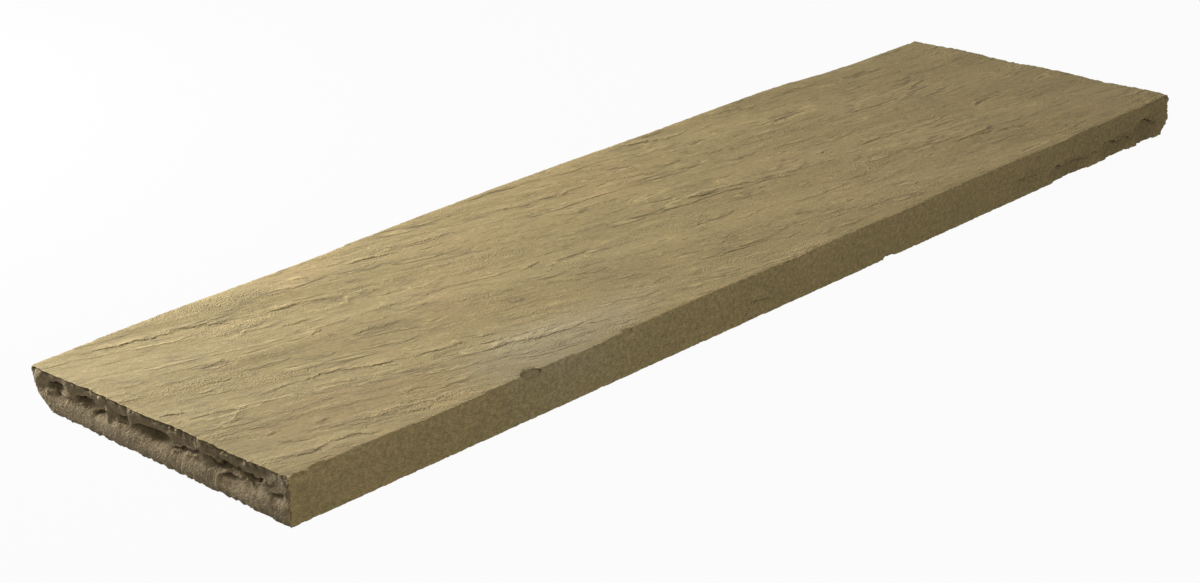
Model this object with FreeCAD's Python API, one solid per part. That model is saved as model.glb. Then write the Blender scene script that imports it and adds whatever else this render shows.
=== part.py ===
import FreeCAD, Part
import math
import os

# Riven sandstone coping stone for the head of a garden wall, in millimetres.
# One hand-dressed slab: a flat bed, a riven top that swells towards its back edge,
# a straight front face with scars where flakes came off it, a leaning and pitched back
# edge, and two split ends.
# X runs along the wall from the near end to the far end, Y across it from the front
# to the back, Z up. The origin is the middle of the bed.

# The block
LENGTH = 1000.0
WIDTH = 280.0
FRONT_THICKNESS = 34.3

# Riven top: height of the back edge over the front arris, at even stations from end to end,
# and the long low ripples that run slantwise over the split bed
BACK_RISES = (-4.3, -2.8, -2.0, 0.0, 0.4, 1.0, 0.4, -0.6, -4.3, -4.3)
RIPPLE_HEIGHT = 0.6
RIPPLE_LENGTH = 95.0
RIPPLE_TURN = 16.0

# Back edge: it leans in under the top arris, then is pitched off down to the bed
BACK_LEAN = 5.5
PITCH_HEIGHT = 15.5
PITCH_BULGE = 0.8
PITCH_SETBACKS = (28.0, 20.0, 25.0, 18.0, 24.0)

# Split ends: a hollow band under the top arris that runs out towards both corners
END_HOLLOW = 3.6
HOLLOW_HEIGHT = 19.5
HOLLOW_SPREAD = 7.0
HOLLOW_WAVE = 84.0
HOLLOW_RUN_OUT = 40.0

# Spalls in the near end: distance from the front face, height over the bed, length, height
# and depth under the face
SPALLS = (
    (252.0, 22.0, 20.0, 9.0, 3.0),
    (219.0, 20.5, 22.0, 9.0, 3.0),
    (143.0, 19.5, 34.0, 10.0, 4.0),
    (69.0, 22.5, 38.0, 9.0, 4.0),
    (37.0, 23.0, 26.0, 9.0, 3.0),
    (57.0, 11.0, 28.0, 9.0, 2.5),
)

# Scars of flakes that came off the front face: distance from the far end, height of the
# middle over the bed, length, height and depth
SCARS = (
    (397.0, 0.0, 14.0, 5.0, 3.0),
    (212.0, 10.0, 44.0, 15.0, 1.4),
    (150.0, 5.5, 66.0, 17.0, 2.8),
    (80.0, 7.0, 56.0, 18.0, 2.8),
    (36.0, 9.0, 38.0, 24.0, 3.2),
    (0.0, 1.0, 22.0, 9.0, 6.0),
)
# Chips off the top front arris: distance from the near end, length, height and depth
CHIPS = (
    (26.0, 15.0, 6.0, 4.0),
    (214.0, 17.0, 10.0, 7.0),
    (308.0, 9.0, 5.0, 3.0),
)

# How closely the split faces are shaped, and how far the waste stands out from the block
TOP_COLUMNS = 28
TOP_ROWS = 16
END_COLUMNS = 40
END_ROWS = 14
WASTE = 6.0

FRONT = -WIDTH / 2
BACK = WIDTH / 2
NEAR_END = -LENGTH / 2
FAR_END = LENGTH / 2
HIGHEST = FRONT_THICKNESS + max(0.0, *BACK_RISES) + RIPPLE_HEIGHT


def even_steps(start, stop, count):
    """Values spaced evenly from start to stop, both included."""
    return [start + (stop - start) * index / (count - 1) for index in range(count)]


def back_rise(x):
    """Height of the back edge over the front arris at x, eased between the stations."""
    place = (x - NEAR_END) / LENGTH * (len(BACK_RISES) - 1)
    place = min(max(place, 0.0), len(BACK_RISES) - 1.0)
    station = min(int(place), len(BACK_RISES) - 2)
    ease = (1 - math.cos(math.pi * (place - station))) / 2
    return BACK_RISES[station] * (1 - ease) + BACK_RISES[station + 1] * ease


def top_height(x, y):
    """Height of the riven top over the bed."""
    turn = math.radians(RIPPLE_TURN)
    across_ripple = x * math.sin(turn) + y * math.cos(turn)
    ripple = RIPPLE_HEIGHT * math.sin(2 * math.pi * across_ripple / RIPPLE_LENGTH)
    return FRONT_THICKNESS + back_rise(x) * (y - FRONT) / WIDTH + ripple


def hollow_depth(y, z):
    """How far the split of an end lies behind its plane."""
    band = math.exp(-(((z - HOLLOW_HEIGHT) / HOLLOW_SPREAD) ** 2))
    to_corner = max(BACK - abs(y), 0.0)
    run_out = 1 - math.exp(-((to_corner / HOLLOW_RUN_OUT) ** 2))
    return END_HOLLOW * band * run_out * (0.75 + 0.25 * math.sin(2 * math.pi * y / HOLLOW_WAVE))


def waste_beyond(rows, outward):
    """Waste on the outer side of the split face that passes through rows of points."""
    split = Part.BSplineSurface()
    split.interpolate(rows)
    return split.toShape().extrude(outward)


def top_waste():
    """Waste above the riven top."""
    xs = even_steps(NEAR_END - WASTE, FAR_END + WASTE, TOP_COLUMNS)
    ys = even_steps(FRONT - WASTE, BACK + WASTE, TOP_ROWS)
    rows = [[FreeCAD.Vector(x, y, top_height(x, y)) for y in ys] for x in xs]
    return waste_beyond(rows, FreeCAD.Vector(0, 0, HIGHEST))


def spall_depth(y, z, spalls):
    """How much deeper the split lies where spalls came off."""
    depth = 0.0
    for from_front, middle, length, height, dip in spalls:
        along = 2 * (y - FRONT - from_front) / length
        up = 2 * (z - middle) / height
        depth += dip * math.exp(-(along**2 + up**2))
    return depth


def end_waste(end, spalls):
    """Waste beyond one split end, whose plane is at x = end."""
    outward = math.copysign(1.0, end)
    ys = even_steps(FRONT - WASTE, BACK + WASTE, END_COLUMNS)
    zs = even_steps(-WASTE, HIGHEST + WASTE, END_ROWS)
    rows = []
    for y in ys:
        depths = [hollow_depth(outward * y, z) + spall_depth(y, z, spalls) for z in zs]
        rows.append([FreeCAD.Vector(end - outward * depth, y, z) for depth, z in zip(depths, zs)])
    deepest = END_HOLLOW + sum(dip for *_, dip in spalls)
    return waste_beyond(rows, FreeCAD.Vector(outward * (deepest + 2 * WASTE), 0, 0))


def back_section(x, setback):
    """Section at x of the waste off the back edge, for one setback of the pitch at the bed."""
    arris = FreeCAD.Vector(x, BACK, HIGHEST)
    pitch_top = FreeCAD.Vector(x, BACK - BACK_LEAN, PITCH_HEIGHT)
    pitch_foot = FreeCAD.Vector(x, BACK - setback, 0)
    slope = pitch_foot - pitch_top
    bulge = FreeCAD.Vector(0, -slope.z, slope.y).normalize() * PITCH_BULGE
    below = FreeCAD.Vector(x, BACK - setback, -WASTE)
    outer_foot = FreeCAD.Vector(x, BACK + WASTE, -WASTE)
    outer_head = FreeCAD.Vector(x, BACK + WASTE, HIGHEST)
    edges = [
        Part.makeLine(arris, pitch_top),
        Part.Arc(pitch_top, (pitch_top + pitch_foot) / 2 + bulge, pitch_foot).toShape(),
        Part.makeLine(pitch_foot, below),
        Part.makeLine(below, outer_foot),
        Part.makeLine(outer_foot, outer_head),
        Part.makeLine(outer_head, arris),
    ]
    return Part.Wire(edges)


def back_waste():
    """Waste off the leaning and pitched back edge, with a setback that wanders along it."""
    stations = even_steps(NEAR_END - WASTE, FAR_END + WASTE, len(PITCH_SETBACKS))
    sections = [back_section(x, setback) for x, setback in zip(stations, PITCH_SETBACKS)]
    return Part.makeLoft(sections, True)


def struck_flake(x, z, length, height, depth):
    """Flake to be struck off the front face: an ellipsoid whose middle lies in that face."""
    form = FreeCAD.Matrix()
    form.scale(length / 2, depth, height / 2)
    form.move(x, FRONT, z)
    return Part.makeSphere(1.0).transformGeometry(form)


def coping_stone():
    """The whole stone: its faces are split off a block, then flakes are struck off its front."""
    corner = FreeCAD.Vector(NEAR_END - WASTE, FRONT, 0)
    block = Part.makeBox(LENGTH + 2 * WASTE, WIDTH + WASTE, HIGHEST, corner)
    wastes = [end_waste(NEAR_END, SPALLS), end_waste(FAR_END, ()), back_waste(), top_waste()]
    for from_far_end, middle, length, height, depth in SCARS:
        wastes.append(struck_flake(FAR_END - from_far_end, middle, length, height, depth))
    for from_near_end, length, height, depth in CHIPS:
        x = NEAR_END + from_near_end
        wastes.append(struck_flake(x, top_height(x, FRONT), length, height, depth))
    for waste in wastes:
        block = block.cut(waste)
    return block


os.makedirs("parts", exist_ok=True)
stone = coping_stone()
stone.exportStep("parts/coping_stone.step")
print(f"coping_stone: {stone.Volume / 1e6:.3f} litres")
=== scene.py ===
"""Riven sandstone wall coping stone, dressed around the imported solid."""

from __future__ import annotations

import logging
import math
from dataclasses import dataclass, field
from enum import Enum

import bpy
import numpy as np
from bpy.types import Material, Node, NodeOutputs, NodeSocket, NodeTree, Object
from mathutils import Matrix, Vector


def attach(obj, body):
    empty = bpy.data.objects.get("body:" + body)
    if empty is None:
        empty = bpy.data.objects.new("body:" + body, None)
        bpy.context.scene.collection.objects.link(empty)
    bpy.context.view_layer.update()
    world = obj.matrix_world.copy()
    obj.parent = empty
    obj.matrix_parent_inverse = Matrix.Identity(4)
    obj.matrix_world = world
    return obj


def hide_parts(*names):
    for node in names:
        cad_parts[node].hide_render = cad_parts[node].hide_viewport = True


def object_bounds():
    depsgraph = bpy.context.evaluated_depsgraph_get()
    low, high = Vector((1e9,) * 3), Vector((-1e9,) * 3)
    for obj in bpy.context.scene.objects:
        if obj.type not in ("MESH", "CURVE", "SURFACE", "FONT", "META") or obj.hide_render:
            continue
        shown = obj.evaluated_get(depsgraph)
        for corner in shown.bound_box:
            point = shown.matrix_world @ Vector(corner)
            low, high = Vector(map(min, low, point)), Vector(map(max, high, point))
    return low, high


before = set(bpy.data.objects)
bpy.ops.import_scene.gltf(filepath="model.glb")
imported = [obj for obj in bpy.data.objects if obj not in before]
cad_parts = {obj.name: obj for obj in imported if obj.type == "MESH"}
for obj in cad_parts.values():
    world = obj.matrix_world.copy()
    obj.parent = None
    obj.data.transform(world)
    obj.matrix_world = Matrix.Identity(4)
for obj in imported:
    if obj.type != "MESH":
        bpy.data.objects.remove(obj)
CAD_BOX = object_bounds()

LOG = logging.getLogger("coping_stone")
MM = 0.001
WHITE = "#ffffff"

# Places of the solid in millimetres
HALF_LENGTH = (CAD_BOX[1][0] - CAD_BOX[0][0]) / 2 / MM
WHOLE_LENGTH = (-HALF_LENGTH, HALF_LENGTH)
FRONT_PLANE = CAD_BOX[0][1] / MM

# Kinds of node that come up often
MATH = "ShaderNodeMath"
VECTOR_MATH = "ShaderNodeVectorMath"
RANGE = "ShaderNodeMapRange"
NOISE = "ShaderNodeTexNoise"
MIX = "ShaderNodeMix"

# Pairs of inputs that take the two ends of a range, and shares of the axes that keep what lies level
FROM = ("From Min", "From Max")
TO = ("To Min", "To Max")
LEVEL = (1.0, 1.0, 0.0)

# What a node's input can be fed by
Feed = Node | NodeSocket


def linear(colour: str) -> tuple[float, float, float, float]:
    """Turns an sRGB hex colour to linear.

    Args:
        colour: Six hex digits, with or without a leading #.

    Returns:
        Linear red, green, blue and an alpha of 1.
    """
    digits = colour.lstrip("#")
    parts = [int(digits[i:i + 2], 16) / 255 for i in (0, 2, 4)]
    curved = [c / 12.92 if c <= 0.04045 else ((c + 0.055) / 1.055) ** 2.4 for c in parts]
    return (*curved, 1.0)


def add_node(tree: NodeTree, kind: str, inputs: dict | list | tuple = (), **settings) -> Node:
    """Adds a node to a tree with its settings and links.

    Args:
        tree: The shader or geometry tree.
        kind: The node's type name.
        inputs: A list in the order of the inputs, or names, numbers or tuples of names to what they get.
            That is a value, the output socket that feeds the input, or a node whose first output does.
        settings: Properties of the node itself.

    Returns:
        The new node.
    """
    node = tree.nodes.new(kind)
    for name, value in settings.items():
        setattr(node, name, value)
    for key, value in inputs.items() if isinstance(inputs, dict) else enumerate(inputs):
        for name, feed in zip(key, value) if isinstance(key, tuple) else ((key, value),):
            if isinstance(feed, Node):
                feed = feed.outputs[0]
            if isinstance(feed, NodeSocket):
                tree.links.new(feed, node.inputs[name])
            else:
                node.inputs[name].default_value = feed
    return node


@dataclass(frozen=True)
class Ground:
    """What a tree starts from: each point's place on the stone in millimetres, whole and taken apart."""

    tree: NodeTree
    place: Node
    apart: NodeOutputs

    @classmethod
    def lay(cls, tree: NodeTree, where: NodeSocket) -> Ground:
        """Turns a position into the ground of a tree.

        Args:
            tree: The relief's or the finish's tree.
            where: Position in metres.

        Returns:
            The ground.
        """
        place = add_node(tree, VECTOR_MATH, {0: where, "Scale": 1 / MM}, operation="SCALE")
        return cls(tree, place, add_node(tree, "ShaderNodeSeparateXYZ", [place]).outputs)


def stray(tree: NodeTree, places: Feed, drawn_over: Feed, size: float, reach: tuple[float, float, float],
          detail: float, roughness: float = 0.5) -> Node:
    """Moves places about by a noise, so that what is drawn there turns ragged.

    Args:
        tree: The relief's or the finish's tree.
        places: The places to move.
        drawn_over: The places that the noise is drawn over.
        size: Size of the noise, in the units of those places.
        reach: How far it moves along each axis.
        detail: How many finer noises it has.
        roughness: How strong the finer noises are.

    Returns:
        The moved places.
    """
    noise = add_node(tree, NOISE, {
        "Vector": drawn_over, "Scale": 1 / size, "Detail": detail, "Roughness": roughness})
    return add_node(tree, VECTOR_MATH, [noise.outputs["Color"], reach, places], operation="MULTIPLY_ADD")


def wander(points: np.ndarray, wavelength: float, seed: int, cells: int = 256) -> np.ndarray:
    """One octave of smooth random values over a plane.

    Args:
        points: Places in the plane, one row of two numbers each.
        wavelength: Distance over which the value changes, in the points' units.
        seed: Which pattern.
        cells: Wavelengths after which the pattern repeats.

    Returns:
        A value from -1 to 1 for each point.
    """
    lattice = np.random.default_rng(seed).uniform(-1.0, 1.0, (cells, cells))
    cell = points / wavelength
    corner = np.floor(cell).astype(int)
    part = cell - corner
    ease = part * part * (3.0 - 2.0 * part)
    low, high = corner % cells, (corner + 1) % cells
    near = lattice[low[:, 0], low[:, 1]] * (1 - ease[:, 0]) + lattice[high[:, 0], low[:, 1]] * ease[:, 0]
    far = lattice[low[:, 0], high[:, 1]] * (1 - ease[:, 0]) + lattice[high[:, 0], high[:, 1]] * ease[:, 0]
    return near * (1 - ease[:, 1]) + far * ease[:, 1]


class Face(Enum):
    """A face of the stone: its two axes, its outward axis and which way that points."""

    TOP = (0, 1, 2, 1.0)
    NEAR_END = (1, 2, 0, -1.0)
    FRONT = (0, 2, 1, -1.0)


class LowSide(Enum):
    """Which side of a ledge lies lower, walking along it. A ridge falls to both."""

    RIGHT = -1.0
    BOTH = 0.0
    LEFT = 1.0


@dataclass(frozen=True)
class Ledge:
    """A broken edge of one bed, or a ridge, in millimetres.

    Its points are along the two axes of its face, from the near end, the front face or the bed.
    Its lift is the share of the drop that stands above the face, and its taper is the share of its length
    over which each end fades out.
    """

    points: tuple[tuple[float, float], ...]
    drop: float
    reach: float
    low: LowSide = LowSide.RIGHT
    lift: float = 0.4
    taper: float = 0.3

    def measure(self, places: np.ndarray) -> tuple[np.ndarray, np.ndarray]:
        """Measures how far places lie from the ledge.

        Args:
            places: Points in millimetres on the ledge's face.

        Returns:
            The distance, below zero on the low side, and the ledge's share of its full drop there.
        """
        line = np.array(self.points)
        runs = np.linalg.norm(np.diff(line, axis=0), axis=1)
        start = np.concatenate([[0.0], np.cumsum(runs)])
        nearest = np.full(len(places), np.inf)
        side = np.zeros(len(places))
        along = np.zeros(len(places))
        for index, run in enumerate(runs):
            way = (line[index + 1] - line[index]) / run
            offset = places - line[index]
            share = np.clip(offset @ way, 0.0, run)
            gap = np.linalg.norm(offset - share[:, None] * way, axis=1)
            closer = gap < nearest
            nearest[closer] = gap[closer]
            side[closer] = np.sign(way[0] * offset[:, 1] - way[1] * offset[:, 0])[closer]
            along[closer] = (start[index] + share)[closer]
        fade = np.clip(np.minimum(along, start[-1] - along) / (self.taper * start[-1]), 0.0, 1.0)
        return np.where(side * self.low.value > 0, -nearest, nearest), fade

    def height(self, gap: np.ndarray, fade: np.ndarray) -> np.ndarray:
        """Height that the ledge adds.

        Args:
            gap: Distance from the ledge, below zero on the low side.
            fade: The ledge's share of its full drop.

        Returns:
            Millimetres, above zero on the high side and below it on the low side.
        """
        share = np.where(gap < 0, self.lift - 1.0, self.lift) * np.exp(-np.abs(gap) / self.reach)
        return self.drop * fade * share


# Ledges of the riven top, from the near end to the far end
TOP_LEDGES = (
    Ledge(((32, 261), (48, 262), (79, 249), (110, 241), (130, 231), (141, 221)), 0.7, 18),
    Ledge(((117, 208), (132, 208), (143, 212)), 0.5, 8, LowSide.LEFT),
    Ledge(((157, 223), (186, 218), (217, 203)), 0.55, 12),
    Ledge(((163, 208), (197, 193), (214, 192), (223, 200), (243, 202), (257, 186), (270, 174), (297, 172),
           (323, 170)), 0.6, 16, LowSide.LEFT),
    Ledge(((259, 248), (297, 238), (308, 231)), 0.5, 12),
    Ledge(((212, 257), (226, 250)), 0.4, 7),
    Ledge(((146, 191), (186, 186)), 0.35, 8),
    Ledge(((72, 177), (94, 174)), 0.4, 7),
    Ledge(((150, 163), (170, 162)), 0.35, 7),
    Ledge(((172, 144), (199, 139)), 0.35, 7),
    Ledge(((201, 163), (286, 156)), 0.35, 10),
    Ledge(((3, 137), (21, 130)), 0.5, 8),
    Ledge(((46, 132), (61, 121), (81, 109), (101, 109), (134, 103), (146, 94), (174, 83), (217, 77),
           (246, 68), (272, 57)), 0.75, 18),
    Ledge(((3, 100), (32, 94), (43, 103), (54, 104), (74, 97), (88, 88), (123, 84), (152, 79)), 0.5, 14,
          LowSide.LEFT),
    Ledge(((30, 59), (41, 57)), 0.4, 5),
    Ledge(((66, 51), (81, 46)), 0.4, 5),
    Ledge(((128, 43), (154, 39)), 0.4, 7),
    Ledge(((197, 58), (217, 50), (250, 41), (279, 36), (323, 22)), 0.5, 14),
    Ledge(((3, 28), (26, 20), (68, 18), (94, 7)), 0.55, 10),
    Ledge(((114, 20), (132, 12)), 0.7, 5),
    Ledge(((346, 66), (366, 57), (408, 43)), 0.45, 10),
    Ledge(((417, 27), (434, 14)), 0.4, 7),
    Ledge(((334, 139), (370, 139)), 0.4, 9),
    Ledge(((401, 246), (441, 237), (474, 230), (490, 226)), 0.45, 12),
    Ledge(((520, 226), (531, 232), (566, 224)), 0.5, 7, LowSide.LEFT),
    Ledge(((570, 281), (597, 270), (626, 259), (643, 254), (666, 262)), 0.5, 12),
    Ledge(((517, 223), (540, 215), (563, 206)), 0.5, 8),
    Ledge(((566, 201), (597, 190)), 0.45, 8),
    Ledge(((474, 174), (510, 157), (537, 146), (581, 133), (610, 122), (637, 112), (670, 106)), 0.5, 15),
    Ledge(((688, 214), (708, 211), (737, 219), (768, 221)), 0.4, 10),
    Ledge(((670, 131), (701, 133)), 0.35, 7),
    Ledge(((706, 121), (790, 121)), 0.35, 9),
    Ledge(((688, 99), (717, 94)), 0.35, 7),
    Ledge(((777, 70), (826, 57), (870, 39)), 0.4, 12),
)

# Lips over the spalls of the near end, then the ridges between them, from the front to the back
END_LEDGES = (
    Ledge(((5, 20), (14, 17.5), (21, 15.5)), 2.0, 4.0, lift=0.0),
    Ledge(((27, 23.5), (35, 22), (43, 22), (53, 20.7)), 4.5, 4.5, lift=0.0),
    Ledge(((55, 22.2), (64, 22), (70, 22), (77, 19), (82, 21.8), (91, 22.6)), 4.0, 4.5, lift=0.0),
    Ledge(((47, 15), (56, 16.5), (66, 15.5), (74, 12.5)), 2.6, 4.5, lift=0.0),
    Ledge(((91, 25), (100, 21.5), (109, 19.6), (119, 17.3), (128, 15.6)), 2.6, 5.0, lift=0.0),
    Ledge(((127, 23), (139, 21), (149, 20.6), (157, 21), (168, 18.2)), 4.5, 5.0, lift=0.0),
    Ledge(((169, 24), (175, 22), (181, 21)), 2.6, 4.0, lift=0.0),
    Ledge(((194, 20.5), (202, 16.5), (211, 14.5)), 2.6, 3.5, lift=0.0),
    Ledge(((209, 23), (217, 22), (230, 20.5)), 4.0, 3.5, lift=0.0),
    Ledge(((233, 18), (238, 17), (244, 18), (253, 18)), 2.0, 3.5, lift=0.0),
    Ledge(((243, 25.5), (252, 24), (261, 21.5)), 4.5, 3.5, lift=0.0),
    Ledge(((25, 23), (32, 20.3), (40, 18)), 1.3, 1.3, LowSide.BOTH, 1.0),
    Ledge(((25, 23), (28, 20), (31, 16.5)), 1.3, 1.3, LowSide.BOTH, 1.0),
    Ledge(((57, 20.5), (62, 20.2), (67, 18), (72, 15)), 1.6, 1.4, LowSide.BOTH, 1.0),
    Ledge(((93, 22), (99, 17.8), (107, 15.8), (114, 13.4)), 1.8, 1.4, LowSide.BOTH, 1.0),
    Ledge(((114, 16), (119, 15), (124, 13.5)), 1.4, 1.3, LowSide.BOTH, 1.0),
    Ledge(((191, 26), (192, 20.5), (192.5, 16.5), (191.5, 12)), 2.0, 1.6, LowSide.BOTH, 1.0),
    Ledge(((211, 20.3), (219, 17.3), (227, 16)), 1.5, 1.2, LowSide.BOTH, 1.0),
    Ledge(((252, 18), (259, 16.3), (262, 15)), 1.6, 1.2, LowSide.BOTH, 1.0),
)

# Lips over the scars of the front face, from the near end to the far end
FRONT_LEDGES = (
    Ledge(((433, 14), (450, 13), (466, 11)), 0.8, 4.0, lift=0.0),
    Ledge(((770, 18), (786, 15.4), (802, 14)), 1.2, 5.0, lift=0.0),
    Ledge(((820, 9), (825, 13), (830, 14.2), (837, 11.6), (859, 10.6), (880, 7.5)), 2.2, 5.0, lift=0.0),
    Ledge(((879, 11.5), (894, 9.7)), 1.0, 3.0, lift=0.0),
    Ledge(((895, 12), (899, 16), (914, 14.4), (922, 11), (932, 9.4), (947, 9.8)), 2.2, 5.0, lift=0.0),
    Ledge(((946, 16), (949, 20), (955, 21.3), (964, 20.5), (972, 17.3), (981, 11)), 2.1, 6.0, lift=0.0),
)


@dataclass(frozen=True)
class Breaks:
    """The ledges of one face, and how ragged and broken they are drawn.

    Its strays are wavelengths and distances in millimetres. Its shares are those of a ledge's drop in the
    mesh and in the finer lip of the finish, and that of the gaps which break a ledge up. A gap wave is a
    share, a wavelength and a seed. The start is taken off their sum, and a ledge gets at most so much of its
    drop.
    """

    ledges: tuple[Ledge, ...]
    strays: tuple[tuple[float, float], ...]
    mesh_share: float
    lip_share: float
    gap_share: float
    gap_waves: tuple[tuple[float, float, int], ...] = ((0.6, 14.0, 11), (0.5, 6.0, 12))
    gap_start: float = 0.25
    most: float = 1.3

    def ragged(self, places: np.ndarray) -> np.ndarray:
        """Moves places about, so that a straight line between points turns ragged there.

        Args:
            places: Points in millimetres on the face.

        Returns:
            The moved points.
        """
        moved = places.copy()
        for seed, (wavelength, reach) in enumerate(self.strays):
            moved[:, 0] += reach * wander(places, wavelength, 2 * seed + 1)
            moved[:, 1] += reach * wander(places, wavelength, 2 * seed + 2)
        return moved

    def broken(self, places: np.ndarray) -> np.ndarray:
        """Breaks the ledges up.

        Args:
            places: Points in millimetres on the face.

        Returns:
            The share of its drop that a ledge keeps at each point.
        """
        gaps = sum(share * wander(places, wavelength, seed) for share, wavelength, seed in self.gap_waves)
        return np.clip(1.0 + self.gap_share * (gaps - self.gap_start), 0.0, self.most)


# How each face's ledges are drawn: their strays, then their shares in the mesh, the lips and the gaps
BREAKS = {
    Face.TOP: Breaks(TOP_LEDGES, ((34.0, 3.5), (12.0, 2.2), (5.0, 1.6), (2.6, 0.9)), 0.7, 1.0, 1.0),
    Face.NEAR_END: Breaks(END_LEDGES, ((9.0, 1.2), (3.5, 0.6)), 1.25, 0.12, 0.25),
    Face.FRONT: Breaks(FRONT_LEDGES, ((9.0, 1.0), (3.5, 0.6)), 1.5, 0.5, 0.5),
}


@dataclass(frozen=True)
class Laminae:
    """One thickness of thin beds in the riven top, which broke off along level lines, in millimetres.

    It has so many levels, and the riser is the share of a level that its broken edge takes up.
    """

    name: str
    length: float
    breadth: float
    step: float
    levels: float
    riser: float


@dataclass(frozen=True)
class SplitPattern:
    """Pattern of the split, the same in the stone's relief and in its finish, in millimetres.

    The streaks turn by so many degrees at the near and the far end. The widths of the painted shade at the
    foot of a step and of the painted highlight on its crest are shares of a riser. The pattern gap keeps the
    patterns of two thicknesses apart.
    """

    beds: tuple[Laminae, ...] = (
        Laminae("Bed Step", 260.0, 58.0, 0.2, 6.0, 0.12),
    )
    laminae: tuple[Laminae, ...] = (
        Laminae("Broad Flake Step", 150.0, 30.0, 0.5, 3.0, 0.1),
        Laminae("Flake Step", 62.0, 13.0, 0.32, 3.0, 0.16),
        Laminae("Sliver Step", 26.0, 6.0, 0.2, 2.9, 0.22),
    )
    turns: tuple[float, float] = (15.0, 6.0)
    bend: tuple[float, float] = (150.0, 42.0)
    bend_stray: tuple[float, float, float] = (40.0, 26.0, 0.0)
    ragged: float = 5.0
    ragged_stray: tuple[float, float, float] = (2.2, 2.2, 0.0)
    # Painted shade at the foot of each step and a painted highlight on its crest, for the step's shadow and
    # lit lip: widths as shares of a riser, and the highlight's strength against the shade
    painted_foot_shade_width: float = 0.6
    painted_highlight_width: float = 0.7
    painted_highlight_share: float = 1.4
    pattern_gap: float = 310.0
    gap_scale: float = 0.1
    seed: int = 7

    def streaks(self, ground: Ground) -> Node:
        """Turns places into distances along and across the streaks of the split.

        Args:
            ground: The relief's or the finish's ground.

        Returns:
            The turned position, which strays a little from straight lines and has no height.
        """
        tree = ground.tree
        flat = add_node(tree, VECTOR_MATH, [ground.place, LEVEL], operation="MULTIPLY")
        turns = [math.radians(turn) for turn in self.turns]
        turn = add_node(tree, RANGE, {"Value": ground.apart["X"], FROM: WHOLE_LENGTH, TO: turns})
        turned = add_node(tree, "ShaderNodeVectorRotate", {"Vector": flat, "Angle": turn},
                          rotation_type="Z_AXIS")
        stretch = (1 / self.bend[0], 1 / self.bend[1], 0.0)
        stretched = add_node(tree, VECTOR_MATH, [turned, stretch], operation="MULTIPLY")
        bent = stray(tree, turned, stretched, 1.0, self.bend_stray, detail=3.0)
        return stray(tree, bent, flat, self.ragged, self.ragged_stray, detail=3.0, roughness=0.6)

    def terraces(self, tree: NodeTree, streaks: Node, laminae: Laminae, order: int) -> tuple[Node, Node]:
        """Level terraces of one thickness of beds, with ragged edges.

        Args:
            tree: The relief's or the finish's tree.
            streaks: Places along and across the streaks.
            laminae: The sizes of the beds.
            order: Which thickness this is, for a pattern of its own.

        Returns:
            Height in steps, and a painted shade above 0 at the foot of a step and a painted highlight below
            0 on its crest.
        """
        lift = (0.0, 0.0, self.pattern_gap * (order + self.seed))
        moved = add_node(tree, VECTOR_MATH, [streaks, lift], operation="ADD")
        stretch = (1 / laminae.length, 1 / laminae.breadth, self.gap_scale)
        stretched = add_node(tree, VECTOR_MATH, [moved, stretch], operation="MULTIPLY")
        swell = add_node(tree, NOISE, {
            "Vector": stretched, "Scale": 1.0, "Detail": 3.0, "Roughness": 0.5})
        level = add_node(tree, MATH, [swell, laminae.levels], operation="MULTIPLY")
        tread = add_node(tree, MATH, [level], operation="FLOOR")
        part = add_node(tree, MATH, [level], operation="FRACT")
        foot = 1 - laminae.riser
        riser = add_node(tree, RANGE, {"Value": part, FROM: (foot, 1.0)})
        height = add_node(tree, MATH, [tread, riser], operation="ADD")
        # Painted shade at the foot of the step, where the shadow under its riser falls, and a painted
        # highlight on the crest above it
        foot_shade_rise = add_node(tree, RANGE, {
            "Value": part, FROM: (foot - self.painted_foot_shade_width * laminae.riser, foot)})
        clear = add_node(tree, MATH, [1.0, riser], operation="SUBTRACT")
        painted_foot_shade = add_node(tree, MATH, [foot_shade_rise, clear], operation="MULTIPLY")
        painted_highlight = add_node(tree, RANGE, {"Value": part, FROM: (self.painted_highlight_width * laminae.riser, 0.0)})
        shade = add_node(tree, MATH, [painted_highlight, -self.painted_highlight_share, painted_foot_shade], operation="MULTIPLY_ADD")
        return height, shade


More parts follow.
